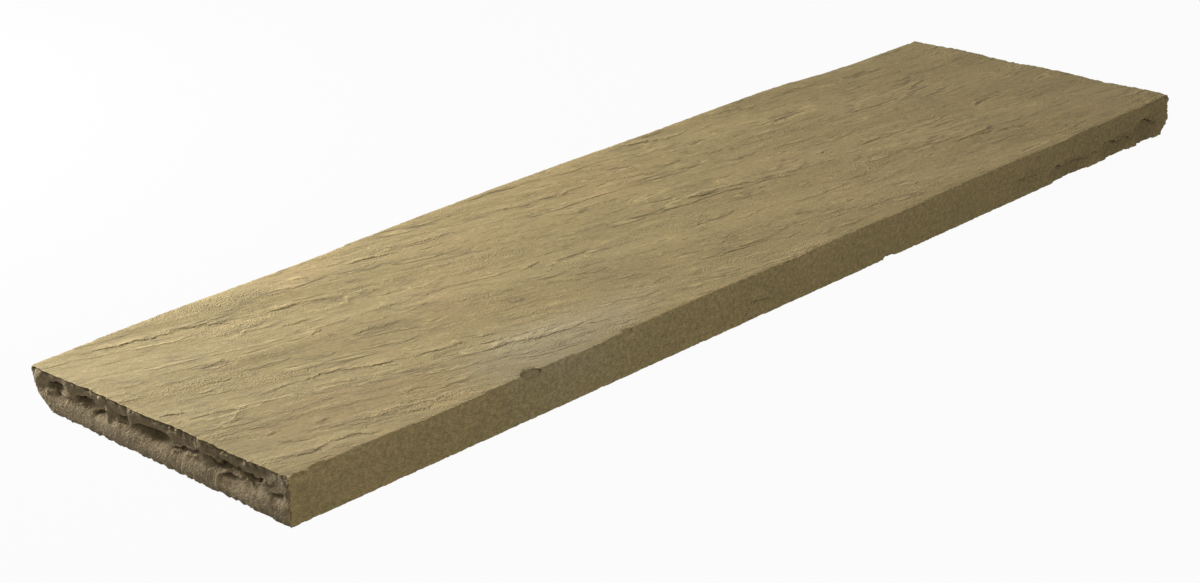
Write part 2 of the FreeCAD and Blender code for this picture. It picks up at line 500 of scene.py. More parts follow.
@dataclass
class RivenRelief:
    """Relief that splitting and pitching left on every face, in millimetres.

    A pair named height, inset, top, bed, side, noise, turn, width or lean is a fade: none of a thing at the
    first value and all of it at the second. Heights are over the bed, insets are from an end or the front.
    """

    pattern: SplitPattern = field(default_factory=SplitPattern)
    far_share: float = 0.65

    # Bowls that the hammer left
    bowl: tuple[float, float, float] = (24.0, 24.0, 11.0)
    bowl_depth: float = 1.7
    bowl_ragged: float = 9.0
    bowl_stray: tuple[float, float, float] = (7.0, 7.0, 4.0)
    bowl_height: tuple[float, float] = (11.0, 17.0)
    low_bowl_share: float = 0.05

    # Flutes along the arrises of the ends
    flute: tuple[float, float] = (11.0, 34.0)
    flute_depth: float = 1.5
    flute_inset: tuple[float, float] = (14.0, 5.0)
    flute_top: tuple[float, float] = (24.0, 33.0)
    flute_bed: tuple[float, float] = (4.0, 0.5)
    flute_bed_share: float = 0.75
    flute_noise: tuple[float, float] = (0.38, 0.66)

    # Small facets of the struck faces
    lump: float = 15.0
    lump_height: float = 2.0
    lump_stray: float = 0.4
    lump_shares: tuple[float, float] = (0.12, 1.3)

    # Scars of the front face, and the painted shade in them that the finish takes from the hollow
    scar_ease: int = 16
    scar_shade: float = 0.6
    scar_depth: float = 3.0
    scar_inset: tuple[float, float] = (5.0, 4.0)
    scar_bed: tuple[float, float] = (2.0, 6.0)
    scar_top: tuple[float, float] = (30.0, 26.0)

    # Nicks along the arrises, a little fewer at the foot, and at the ends only along their rims
    nick: float = 6.0
    nick_noise: tuple[float, float] = (0.44, 0.74)
    arris_wear: float = 3.5
    arris_turn: tuple[float, float] = (0.97, 0.55)
    arris_ease: int = 10
    arris_width: tuple[float, float] = (0.0, 0.3)
    foot_height: tuple[float, float] = (4.0, 8.0)
    foot_wear: tuple[float, float] = (0.35, 0.4)
    rim_inset: tuple[float, float] = (20.0, 12.0)
    rim_top: tuple[float, float] = (26.0, 31.0)
    rim_bed: tuple[float, float] = (6.0, 3.0)
    rim_side: tuple[float, float] = (130.0, 136.0)
    wear_slant: tuple[float, float, float] = (1.0, 1.0, 0.4)
    foot_slant: tuple[float, float, float] = (0.3, 0.3, 1.3)

    # How far the normal leans where a face counts as struck, as the top or as the front
    struck_lean: tuple[float, float] = (0.2, 0.7)
    top_lean: tuple[float, float] = (0.3, 0.9)
    front_lean: tuple[float, float] = (-0.5, -0.8)
    hollow_ease: int = 8

    def top_relief(self, ground: Ground, given: NodeOutputs) -> Node:
        """Height of the riven top over the plain solid.

        Args:
            ground: The relief's ground.
            given: The tree's named inputs.

        Returns:
            Height in millimetres.
        """
        tree = ground.tree
        streaks = self.pattern.streaks(ground)
        total = 0.0
        for order, beds in enumerate(self.pattern.beds):
            height, _ = self.pattern.terraces(tree, streaks, beds, order)
            centred = add_node(tree, MATH, [height, beds.levels / 2], operation="SUBTRACT")
            total = add_node(tree, MATH, [centred, given[beds.name], total], operation="MULTIPLY_ADD")
        share = add_node(tree, RANGE, {
            "Value": ground.apart["X"], FROM: WHOLE_LENGTH, TO: (1.0, self.far_share)})
        return add_node(tree, MATH, [total, share], operation="MULTIPLY")

    def bowls(self, ground: Ground) -> Node:
        """Conchoidal bowls with sharp ridges between them, as a struck face has.

        Args:
            ground: The relief's ground.

        Returns:
            Depth from about 0 on a ridge to 1 in the middle of a bowl.
        """
        tree = ground.tree
        strayed = stray(tree, ground.place, ground.place, self.bowl_ragged, self.bowl_stray, detail=2.0)
        shrink = tuple(1 / size for size in self.bowl)
        shrunk = add_node(tree, VECTOR_MATH, [strayed, shrink], operation="MULTIPLY")
        cells = add_node(tree, "ShaderNodeTexVoronoi", {"Vector": shrunk, "Scale": 1.0})
        square = add_node(tree, MATH, [cells.outputs["Distance"], 2.0], operation="POWER")
        return add_node(tree, MATH, [1.0, square], operation="SUBTRACT", use_clamp=True)

    def facets(self, ground: Ground) -> NodeSocket:
        """Small flat facets that each tilt their own way, as a split face has.

        Args:
            ground: The relief's ground.

        Returns:
            Height, about as much above zero as below it.
        """
        tree = ground.tree
        reach = (self.lump_stray * self.lump,) * 3
        strayed = stray(tree, ground.place, ground.place, self.lump, reach, detail=2.0)
        shrunk = add_node(tree, VECTOR_MATH, {0: strayed, "Scale": 1 / self.lump}, operation="SCALE")
        cells = add_node(tree, "ShaderNodeTexVoronoi", {"Vector": shrunk, "Scale": 1.0}).outputs
        offset = add_node(tree, VECTOR_MATH, [shrunk, cells["Position"]], operation="SUBTRACT")
        tilt = add_node(tree, VECTOR_MATH, [cells["Color"], (0.5, 0.5, 0.5)], operation="SUBTRACT")
        return add_node(tree, VECTOR_MATH, [offset, tilt], operation="DOT_PRODUCT").outputs["Value"]

    def side_relief(self, ground: Ground, facing: NodeOutputs, given: NodeOutputs) -> Node:
        """How far the front, back and ends stand out from the plain solid.

        Args:
            ground: The relief's ground.
            facing: The normal, taken apart.
            given: The tree's named inputs.

        Returns:
            Distance in millimetres, mostly below zero.
        """
        tree = ground.tree
        end_share = add_node(tree, MATH, [facing["X"]], operation="ABSOLUTE")
        struck = add_node(tree, MATH, [end_share, facing["Y"]], operation="MAXIMUM")
        struck_share = add_node(tree, RANGE, {"Value": struck, FROM: self.struck_lean})
        band = add_node(tree, RANGE, {
            "Value": ground.apart["Z"], FROM: self.bowl_height, TO: (self.low_bowl_share, 1.0)},
            interpolation_type="SMOOTHSTEP")
        weight = add_node(tree, MATH, [struck_share, band], operation="MULTIPLY")
        deep = add_node(tree, MATH, [weight, given["Bowl Depth"]], operation="MULTIPLY")
        bowls = add_node(tree, MATH, [self.bowls(ground), deep], operation="MULTIPLY")
        rough = add_node(tree, RANGE, {"Value": weight, TO: self.lump_shares})
        tilt = add_node(tree, MATH, [rough, given["Lump Height"]], operation="MULTIPLY")
        stand = add_node(tree, MATH, [self.facets(ground), tilt], operation="MULTIPLY")
        return add_node(tree, MATH, [stand, bowls], operation="SUBTRACT")

    def flutes(self, ground: Ground, given: NodeOutputs) -> Node:
        """How far the ends are drawn in along ragged flutes, which carry on to their arrises.

        Args:
            ground: The relief's ground.
            given: The tree's named inputs.

        Returns:
            Distance along the stone in millimetres.
        """
        tree = ground.tree
        side = add_node(tree, MATH, [ground.apart["X"]], operation="SIGN")
        from_middle = add_node(tree, MATH, [ground.apart["X"]], operation="ABSOLUTE")
        at_end = add_node(tree, RANGE, {
            "Value": from_middle, FROM: [HALF_LENGTH - inset for inset in self.flute_inset],
            TO: (0.0, given["Flute Depth"])}, interpolation_type="SMOOTHSTEP")
        to_top = add_node(tree, RANGE, {"Value": ground.apart["Z"], FROM: self.flute_top},
                          interpolation_type="SMOOTHSTEP")
        to_bed = add_node(tree, RANGE, {
            "Value": ground.apart["Z"], FROM: self.flute_bed, TO: (0.0, self.flute_bed_share)})
        to_arris = add_node(tree, MATH, [to_top, to_bed], operation="MAXIMUM")
        reach = add_node(tree, MATH, [at_end, to_arris], operation="MULTIPLY")
        shrink = (0.0, 1 / self.flute[0], 1 / self.flute[1])
        shrunk = add_node(tree, VECTOR_MATH, [ground.place, shrink], operation="MULTIPLY")
        moved = add_node(tree, VECTOR_MATH, [shrunk, (self.pattern.seed, 0.0, 0.0)], operation="ADD")
        fluting = add_node(tree, NOISE, {"Vector": moved, "Scale": 1.0, "Detail": 3.0, "Roughness": 0.6})
        deep = add_node(tree, RANGE, {"Value": fluting, FROM: self.flute_noise, TO: (0.0, reach)})
        return add_node(tree, MATH, [deep, side], operation="MULTIPLY")

    def ease_scars(self, ground: Ground, where: NodeSocket, stone: NodeSocket) -> Node:
        """Rounds the rims of the scars in the front face, clear of its arrises.

        Args:
            ground: The relief's ground.
            where: Position in metres.
            stone: The stone before it.

        Returns:
            The stone with soft scars.
        """
        tree = ground.tree
        fades = (("Z", self.scar_bed), ("Z", self.scar_top),
                 ("Y", [FRONT_PLANE + inset for inset in self.scar_inset]))
        share = 1.0
        for axis, fade in fades:
            inside = add_node(tree, RANGE, {"Value": ground.apart[axis], FROM: fade})
            share = add_node(tree, MATH, [share, inside], operation="MULTIPLY")
        soft = add_node(tree, "GeometryNodeBlurAttribute", {"Value": where, "Iterations": self.scar_ease},
                        data_type="FLOAT_VECTOR")
        mixed = add_node(tree, MIX, {"Factor": share, "A": where, "B": soft}, data_type="VECTOR")
        return add_node(tree, "GeometryNodeSetPosition", {"Geometry": stone, "Position": mixed.outputs[1]})

    def arris_wear_depth(self, ground: Ground, normal: NodeSocket, given: NodeOutputs) -> Node:
        """How far the arrises are nicked, and the other places not at all.

        Args:
            ground: The relief's ground.
            normal: The normal, which leans between two faces at an arris.
            given: The tree's named inputs.

        Returns:
            Depth in millimetres.
        """
        tree = ground.tree
        square = add_node(tree, VECTOR_MATH, [normal, normal], operation="MULTIPLY")
        fourth = add_node(tree, VECTOR_MATH, [square, square], operation="DOT_PRODUCT")
        arris = add_node(tree, RANGE, {"Value": fourth.outputs["Value"], FROM: self.arris_turn})
        soft = add_node(tree, "GeometryNodeBlurAttribute", {"Value": arris, "Iterations": self.arris_ease},
                        data_type="FLOAT")
        spread = add_node(tree, RANGE, {"Value": soft, FROM: self.arris_width})
        nicks = add_node(tree, NOISE, {
            "Vector": ground.place, "Scale": 1 / self.nick, "Detail": 4.0, "Roughness": 0.7})
        nick_share = add_node(tree, RANGE, {"Value": nicks, FROM: self.nick_noise})
        foot = add_node(tree, RANGE, {
            "Value": ground.apart["Z"], FROM: self.foot_height, TO: self.foot_wear})
        from_middle = add_node(tree, MATH, [ground.apart["X"]], operation="ABSOLUTE")
        near_end = add_node(tree, RANGE, {
            "Value": from_middle, FROM: [HALF_LENGTH - inset for inset in self.rim_inset]})
        across = add_node(tree, MATH, [ground.apart["Y"]], operation="ABSOLUTE")
        rim = 0.0
        for value, fade in ((ground.apart["Z"], self.rim_top), (ground.apart["Z"], self.rim_bed),
                            (across, self.rim_side)):
            beside = add_node(tree, RANGE, {"Value": value, FROM: fade})
            rim = add_node(tree, MATH, [rim, beside], operation="MAXIMUM")
        share = add_node(tree, MIX, {"Factor": near_end, "A": foot, "B": rim}, data_type="FLOAT")
        wear = spread
        for factor in (share, nick_share, given["Arris Wear"]):
            wear = add_node(tree, MATH, [wear, factor], operation="MULTIPLY")
        return wear

    def shift(self, ground: Ground, normal: NodeSocket, facing: NodeOutputs, on_top: Node,
              given: NodeOutputs) -> Node:
        """How far each point moves, apart from the flutes.

        Args:
            ground: The relief's ground.
            normal: The normal.
            facing: The normal, taken apart.
            on_top: 1 on the riven top, 0 at the sides.
            given: The tree's named inputs.

        Returns:
            The move in millimetres.
        """
        tree = ground.tree
        ledge = add_node(tree, "GeometryNodeInputNamedAttribute", {"Name": "ledge"}, data_type="FLOAT")
        top_height = add_node(tree, MATH, [self.top_relief(ground, given), ledge], operation="ADD")
        top_move = add_node(tree, MATH, [top_height, on_top], operation="MULTIPLY")
        top_shift = add_node(tree, "ShaderNodeCombineXYZ", {"Z": top_move})
        side_height = add_node(tree, MATH, [self.side_relief(ground, facing, given), ledge],
                               operation="ADD")
        level = add_node(tree, VECTOR_MATH, [normal, LEVEL], operation="MULTIPLY")
        side_shift = add_node(tree, VECTOR_MATH, {0: level, "Scale": side_height}, operation="SCALE")
        both = add_node(tree, VECTOR_MATH, [top_shift, side_shift], operation="ADD")
        foot = add_node(tree, RANGE, {"Value": ground.apart["Z"], FROM: self.foot_height[::-1]})
        slant = add_node(tree, MIX, {
            "Factor": foot, "A": self.wear_slant, "B": self.foot_slant}, data_type="VECTOR")
        slanted = add_node(tree, VECTOR_MATH, [normal, slant.outputs[1]], operation="MULTIPLY")
        worn = self.arris_wear_depth(ground, normal, given)
        inward = add_node(tree, VECTOR_MATH, {0: slanted, "Scale": worn}, operation="SCALE")
        return add_node(tree, VECTOR_MATH, [both, inward], operation="SUBTRACT")

    def hollow(self, ground: Ground, normal: NodeSocket, facing: NodeOutputs, shift: Node) -> Node:
        """How far a point lies below the stone around it, for the finish to paint shade in its hollows and
        highlights on its crests.

        Args:
            ground: The relief's ground.
            normal: The normal.
            facing: The normal, taken apart.
            shift: How far each point moves.

        Returns:
            Depth in millimetres, with more for the scars of the front, where the finish paints the shade
            under their lips.
        """
        tree = ground.tree
        stand = add_node(tree, VECTOR_MATH, [shift, normal], operation="DOT_PRODUCT").outputs["Value"]
        smooth = add_node(tree, "GeometryNodeBlurAttribute", {
            "Value": stand, "Iterations": self.hollow_ease}, data_type="FLOAT")
        pit = add_node(tree, MATH, [smooth, stand], operation="SUBTRACT")
        # Painted shade in the scars of the front: the further a point lies behind the front face, the more
        # it counts as hollow
        scar = add_node(tree, RANGE, {
            "Value": ground.apart["Y"], FROM: (FRONT_PLANE, FRONT_PLANE + self.scar_depth),
            TO: (0.0, self.scar_shade)})
        in_front = add_node(tree, RANGE, {"Value": facing["Y"], FROM: self.front_lean, TO: (0.0, scar)})
        return add_node(tree, MATH, [pit, in_front], operation="ADD")

    def bare_tree(self) -> NodeTree:
        """Starts the relief's tree, with an input for each height and for the material.

        Returns:
            The geometry tree, without nodes.
        """
        tree = bpy.data.node_groups.new("riven_relief", "GeometryNodeTree")
        for way in ("OUTPUT", "INPUT"):
            tree.interface.new_socket(name="Geometry", in_out=way, socket_type="NodeSocketGeometry")
        heights = {beds.name: beds.step for beds in self.pattern.beds}
        heights |= {"Bowl Depth": self.bowl_depth, "Lump Height": self.lump_height,
                    "Flute Depth": self.flute_depth, "Arris Wear": self.arris_wear}
        for name, height in heights.items():
            socket = tree.interface.new_socket(name=name, in_out="INPUT", socket_type="NodeSocketFloat")
            socket.default_value = height
        tree.interface.new_socket(name="Material", in_out="INPUT", socket_type="NodeSocketMaterial")
        return tree

    def tree(self) -> NodeTree:
        """Builds the relief's tree.

        Returns:
            The geometry tree.
        """
        tree = self.bare_tree()
        given = add_node(tree, "NodeGroupInput").outputs
        where = add_node(tree, "GeometryNodeInputPosition").outputs[0]
        ground = Ground.lay(tree, where)
        normal = add_node(tree, "GeometryNodeInputNormal").outputs[0]
        facing = add_node(tree, "ShaderNodeSeparateXYZ", [normal]).outputs
        on_top = add_node(tree, RANGE, {"Value": facing["Z"], FROM: self.top_lean})
        at_end = add_node(tree, MATH, [facing["X"]], operation="ABSOLUTE")
        shift = self.shift(ground, normal, facing, on_top, given)
        drawn = add_node(tree, "ShaderNodeCombineXYZ", {"X": self.flutes(ground, given)})
        ragged = add_node(tree, VECTOR_MATH, [shift, drawn], operation="SUBTRACT")
        metres = add_node(tree, VECTOR_MATH, {0: ragged, "Scale": MM}, operation="SCALE")

        stone = self.ease_scars(ground, where, given["Geometry"])
        kept = {"hollow": self.hollow(ground, normal, facing, shift), "riven": on_top, "at_end": at_end}
        for name, value in kept.items():
            stone = add_node(tree, "GeometryNodeStoreNamedAttribute", {
                "Geometry": stone, "Name": name, "Value": value}, data_type="FLOAT", domain="POINT")
        moved = add_node(tree, "GeometryNodeSetPosition", {"Geometry": stone, "Offset": metres})
        real = add_node(tree, "GeometryNodeRealizeInstances", {"Geometry": moved})
        dressed = add_node(tree, "GeometryNodeSetMaterial", {
            "Geometry": real, "Material": given["Material"]})
        add_node(tree, "NodeGroupOutput", {"Geometry": dressed})
        return tree


# Quartz sand bound by clay and iron, split along its bed. The eye gets a matt, sandy olive buff with no
# gloss, fine flake edges that catch the light, painted shade at their feet and in the spalls, and painted
# highlights on the crests.
@dataclass(frozen=True)
class RivenSandstone:
    """Riven sandstone: matt quartz grains in an olive buff paste, split along the bed.

    Sizes are in millimetres. A pair named noise, reach, step, rim or lean is a fade, from none of a thing to
    all of it.
    """

    pattern: SplitPattern = field(default_factory=SplitPattern)
    roughness: float = 0.92
    ior: float = 1.45

    # Colours of the patches, the ends and the worn place on top
    buff: str = "#9e8b5d"
    olive: str = "#98865a"
    warm: str = "#a38d60"
    end: str = "#9d8a67"
    worn: str = "#a79a78"
    patch: float = 90.0
    patch_stops: tuple[float, float, float] = (0.32, 0.5, 0.68)
    end_lean: tuple[float, float] = (0.3, 0.8)
    worn_place: tuple[float, float, float] = (-235.0, -108.0, 0.0)
    worn_size: tuple[float, float] = (130.0, 46.0)
    worn_ragged: float = 1.6
    worn_rim: tuple[float, float] = (1.8, 0.9)
    worn_share: float = 0.6

    # Crumbs in bands and beside the ledges of the top
    crumb: float = 1.7
    crumb_depth: float = 0.9
    crumb_patch: tuple[float, float] = (150.0, 30.0)
    crumb_noise: tuple[float, float] = (0.46, 0.7)
    crumb_reach: tuple[float, float] = (9.0, 0.0)
    crumb_step: tuple[float, float] = (0.1, 0.4)
    crumb_fade: float = -0.4
    crumb_far_share: float = 0.3

    # Ragged lips of the ledges
    lip_ragged: float = 2.6
    lip_stray: float = 2.6
    lip_width: float = 0.5
    lip_reach: tuple[float, float] = (7.0, 0.0)
    lip_step: float = 1.4

    # Real sand grains are a few tenths of a millimetre, too fine to show in the render, so they are drawn as
    # coarse as they need to show
    grain: float = 1.3
    grain_depth: float = 0.28
    speckle_noise: tuple[float, float] = (0.25, 0.75)
    speckle: tuple[float, float] = (0.9, 1.1)

    # Grit and pits of the sides, fewer at the ends
    grit_depth: float = 0.65
    pit: float = 2.6
    pit_depth: float = 1.7
    end_grit: float = 0.42

    # Share of the colour that the painted shade takes at the foot of a flake, and that its painted highlight
    # adds on the crest
    painted_foot_shade: float = 0.22

    # Painted shade in the hollows and painted highlights on the crests: depths of the hollows and heights of
    # the crests, and the shares of the colour that are left there
    painted_light_depth: float = 0.4
    painted_hollow_light: float = 0.72
    deep_painted_shade_depth: float = 2.0
    deep_painted_shade: float = 0.48
    painted_highlight: float = 1.12
    peak_painted_highlight_height: float = 1.2
    peak_painted_highlight: float = 1.4

    # Mottling, and the share of the colour that it gives and takes
    mottle: float = 3.4
    mottle_noise: tuple[float, float] = (0.3, 0.7)
    mottle_depth: float = 0.12
    side_mottle: float = 0.26

    def crumbs(self, ground: Ground, streaks: Node, edge: NodeSocket, step: NodeSocket) -> Node:
        """Height of the crumbs that stand in bands and along the ledges, where a flake tore off.

        Args:
            ground: The finish's ground.
            streaks: Places along and across the streaks.
            edge: Distance from the nearest ledge.
            step: That ledge's drop.

        Returns:
            Height as a share of the crumbs' own.
        """
        tree = ground.tree
        stretch = (1 / self.crumb_patch[0], 1 / self.crumb_patch[1], 0.0)
        stretched = add_node(tree, VECTOR_MATH, [streaks, stretch], operation="MULTIPLY")
        patch = add_node(tree, NOISE, {"Vector": stretched, "Scale": 1.0, "Detail": 4.0})
        band = add_node(tree, RANGE, {"Value": patch, FROM: self.crumb_noise},
                        interpolation_type="SMOOTHSTEP")
        distance = add_node(tree, MATH, [edge], operation="ABSOLUTE")
        near = add_node(tree, RANGE, {"Value": distance, FROM: self.crumb_reach})
        beside = add_node(tree, RANGE, {"Value": step, FROM: self.crumb_step, TO: (0.0, near)})
        either = add_node(tree, MATH, [band, beside], operation="MAXIMUM")
        fading = add_node(tree, RANGE, {
            "Value": ground.apart["X"], FROM: (self.crumb_fade * HALF_LENGTH, HALF_LENGTH),
            TO: (1.0, self.crumb_far_share)})
        shown = add_node(tree, MATH, [either, fading], operation="MULTIPLY")
        crumbs = add_node(tree, NOISE, {
            "Vector": ground.place, "Scale": 1 / self.crumb, "Detail": 1.0, "Roughness": 0.7})
        return add_node(tree, MATH, [crumbs, shown], operation="MULTIPLY")

    def lip(self, ground: Ground, edge: NodeSocket) -> Node:
        """Height of the ragged lip of a ledge, sharper than the mesh draws it.

        Args:
            ground: The finish's ground.
            edge: Distance from the nearest ledge.

        Returns:
            Height as a share of the ledge's drop, above and below zero at its two sides.
        """
        tree = ground.tree
        ragged = add_node(tree, NOISE, {
            "Vector": ground.place, "Scale": 1 / self.lip_ragged, "Detail": 3.0})
        strayed = add_node(tree, MATH, [ragged, 2 * self.lip_stray, edge], operation="MULTIPLY_ADD")
        fall = add_node(tree, RANGE, {
            "Value": strayed, FROM: (self.lip_stray - self.lip_width, self.lip_stray + self.lip_width),
            TO: (-self.lip_step / 2, self.lip_step / 2)})
        distance = add_node(tree, MATH, [edge], operation="ABSOLUTE")
        near = add_node(tree, RANGE, {"Value": distance, FROM: self.lip_reach})
        return add_node(tree, MATH, [fall, near], operation="MULTIPLY")

    def fine_relief(self, ground: Ground, grains: Node) -> tuple[Node, Node]:
        """Relief that the mesh is too coarse for: flake edges and crumbs on top, grit at the sides.

        Args:
            ground: The finish's ground.
            grains: Noise of single grains.

        Returns:
            Height in millimetres, and how much of the colour the painted shade at the feet of the flakes
            leaves, above 1 under their painted highlights.
        """
        tree = ground.tree
        edge, step, riven, at_end = (
            add_node(tree, "ShaderNodeAttribute", attribute_name=name).outputs["Fac"]
            for name in ("edge", "edge_step", "riven", "at_end"))
        streaks = self.pattern.streaks(ground)
        crumbs = self.crumbs(ground, streaks, edge, step)
        split = add_node(tree, MATH, [crumbs, self.crumb_depth], operation="MULTIPLY")
        split = add_node(tree, MATH, [grains, self.grain_depth, split], operation="MULTIPLY_ADD")
        # Painted shade at the feet of the flakes and painted highlights on their crests, on the riven top
        # only
        painted_step_light = 1.0
        for order, laminae in enumerate(self.pattern.laminae, len(self.pattern.beds)):
            height, shade = self.pattern.terraces(tree, streaks, laminae, order)
            split = add_node(tree, MATH, [height, laminae.step, split], operation="MULTIPLY_ADD")
            on_top = add_node(tree, MATH, [shade, riven], operation="MULTIPLY")
            painted_step_light = add_node(tree, MATH, [on_top, -self.painted_foot_shade, painted_step_light], operation="MULTIPLY_ADD")
        pits = add_node(tree, NOISE, {
            "Vector": ground.place, "Scale": 1 / self.pit, "Detail": 3.0, "Roughness": 0.6})
        pitted = add_node(tree, MATH, [pits, self.pit_depth], operation="MULTIPLY")
        sandy = add_node(tree, MATH, [grains, self.grit_depth, pitted], operation="MULTIPLY_ADD")
        grit_share = add_node(tree, RANGE, {
            "Value": at_end, FROM: self.end_lean, TO: (1.0, self.end_grit)})
        gritty = add_node(tree, MATH, [sandy, grit_share], operation="MULTIPLY")
        either = add_node(tree, MIX, {"Factor": riven, "A": gritty, "B": split}, data_type="FLOAT")
        lipped = add_node(tree, MATH, [self.lip(ground, edge), step, either], operation="MULTIPLY_ADD")
        return lipped, painted_step_light

    def paste(self, ground: Ground) -> NodeSocket:
        """Colour of the stone before its grains, mottling and painted light: soft olive and warm patches, a
        worn place on top and greyer ends.

        Args:
            ground: The finish's ground.

        Returns:
            The colour.
        """
        tree = ground.tree
        patches = add_node(tree, NOISE, {
            "Vector": ground.place, "Scale": 1 / self.patch, "Detail": 5.0, "Roughness": 0.6})
        ramp = add_node(tree, "ShaderNodeValToRGB", {"Fac": patches})
        stops = ramp.color_ramp.elements
        stops.new(self.patch_stops[1])
        for stop, colour, position in zip(stops, (self.olive, self.buff, self.warm), self.patch_stops):
            stop.position = position
            stop.color = linear(colour)
        from_worn = add_node(tree, VECTOR_MATH, [ground.place, self.worn_place], operation="SUBTRACT")
        shrink = (1 / self.worn_size[0], 1 / self.worn_size[1], 0.0)
        shrunk = add_node(tree, VECTOR_MATH, [from_worn, shrink], operation="MULTIPLY")
        reach = add_node(tree, VECTOR_MATH, [shrunk], operation="LENGTH").outputs["Value"]
        ragged = add_node(tree, MATH, [patches, self.worn_ragged, reach], operation="MULTIPLY_ADD")
        worn = add_node(tree, RANGE, {"Value": ragged, FROM: self.worn_rim, TO: (0.0, self.worn_share)},
                        interpolation_type="SMOOTHSTEP")
        paler = add_node(tree, MIX, {"Factor": worn, "A": ramp, "B": linear(self.worn)}, data_type="RGBA")
        at_end = add_node(tree, "ShaderNodeAttribute", attribute_name="at_end")
        end_share = add_node(tree, RANGE, {"Value": at_end.outputs["Fac"], FROM: self.end_lean})
        greyer = add_node(tree, MIX, {
            "Factor": end_share, "A": paler.outputs[2], "B": linear(self.end)}, data_type="RGBA")
        return greyer.outputs[2]

    def tone(self, ground: Ground, grains: Node, painted_step_light: Node) -> Node:
        """Colour of the stone with its speckled grains, painted shade in its hollows and painted highlights
        on its crests.

        Args:
            ground: The finish's ground.
            grains: Noise of single grains.
            painted_step_light: How much of the colour the painted shade at the feet of the flakes leaves,
                above 1 under their painted highlights.

        Returns:
            The colour.
        """
        tree = ground.tree
        riven, hollow = (add_node(tree, "ShaderNodeAttribute", attribute_name=name).outputs["Fac"]
                         for name in ("riven", "hollow"))
        speckle = add_node(tree, RANGE, {"Value": grains, FROM: self.speckle_noise, TO: self.speckle})
        clusters = add_node(tree, NOISE, {
            "Vector": ground.place, "Scale": 1 / self.mottle, "Detail": 3.0, "Roughness": 0.6})
        paleness = add_node(tree, RANGE, {"Value": clusters, FROM: self.mottle_noise, TO: (-1.0, 1.0)})
        depth = add_node(tree, RANGE, {"Value": riven, TO: (self.side_mottle, self.mottle_depth)})
        mottle = add_node(tree, MATH, [paleness, depth, 1.0], operation="MULTIPLY_ADD")
        shade = painted_step_light
        for factor in (speckle, mottle):
            shade = add_node(tree, MATH, [shade, factor], operation="MULTIPLY")
        # Painted shade in the hollows, darker in the deep ones, and painted highlights on the raised crests
        for depths, shares in (
                ((-self.painted_light_depth, self.painted_light_depth), (self.painted_highlight, self.painted_hollow_light)),
                ((self.painted_light_depth, self.deep_painted_shade_depth), (1.0, self.deep_painted_shade)),
                ((-self.painted_light_depth, -self.peak_painted_highlight_height), (1.0, self.peak_painted_highlight))):
            painted_hollow_light = add_node(tree, RANGE, {"Value": hollow, FROM: depths, TO: shares})
            shade = add_node(tree, MATH, [shade, painted_hollow_light], operation="MULTIPLY")
        return add_node(tree, VECTOR_MATH, {0: self.paste(ground), "Scale": shade}, operation="SCALE")

    def material(self) -> Material:
        """Builds the stone's material.

        Returns:
            The material, on Object coordinates.
        """
        material = bpy.data.materials.new("riven_sandstone")
        material.use_nodes = True
        tree = material.node_tree
        tree.nodes.clear()
        ground = Ground.lay(tree, add_node(tree, "ShaderNodeTexCoord").outputs["Object"])
        grains = add_node(tree, NOISE, {"Vector": ground.place, "Scale": 1 / self.grain, "Detail": 2.0})
        height, painted_step_light = self.fine_relief(ground, grains)
        bump = add_node(tree, "ShaderNodeBump", {"Height": height, "Distance": MM, "Strength": 1.0})
        shader = add_node(tree, "ShaderNodeBsdfPrincipled", {
            "Base Color": self.tone(ground, grains, painted_step_light), "Roughness": self.roughness, "IOR": self.ior,
            "Normal": bump})
        add_node(tree, "ShaderNodeOutputMaterial", {"Surface": shader})
        return material


